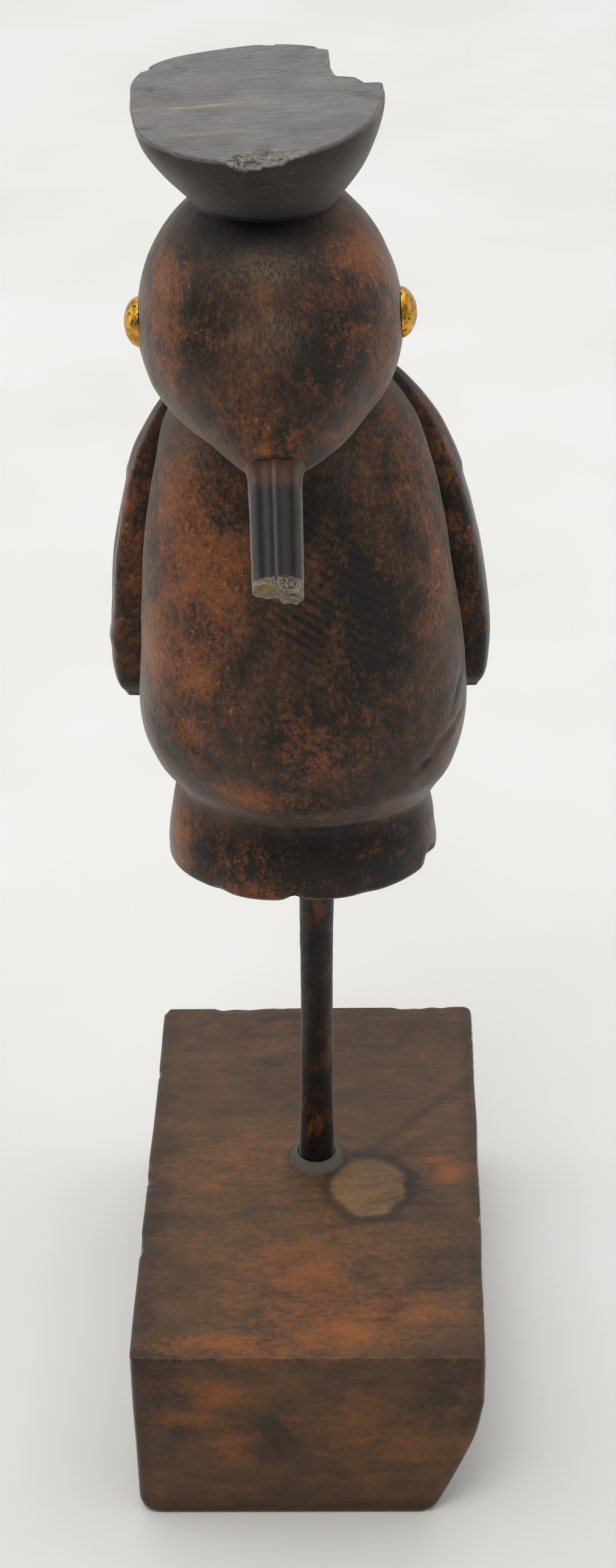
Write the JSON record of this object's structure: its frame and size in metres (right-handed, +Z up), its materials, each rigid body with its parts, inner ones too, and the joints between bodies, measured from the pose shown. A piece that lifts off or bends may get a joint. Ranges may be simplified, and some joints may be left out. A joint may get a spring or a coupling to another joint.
{
  "type": "wooden bird figurine",
  "caption": "Upright carved wooden bird with a flared flat-topped cap, domed brass eyes and a broken beak, held up by a thin rod that stands in a rectangular wooden block.",
  "frame": {"origin": "middle of the block's underside", "axes": "+Z up along the bird, -Y to the front where the beak points, +X to the bird's left"},
  "size_m": [0.0656, 0.1054, 0.2527],
  "materials": {
    "bird_wood": "dark brown stain worn to rust orange on the high places, waxed to a low sheen",
    "eye_brass": "dull old brass with brown spots",
    "rod_wood": "dark brown stain, nearly matt, with rust orange patches",
    "block_wood": "brown stain over grain and a knot, nearly matt, worn along the front edge"
  },
  "bodies": {
    "root": {"bird": "bird_wood", "eye_left": "eye_brass", "eye_right": "eye_brass", "rod": "rod_wood", "base_block": "block_wood"}
  },
  "joints": []
}
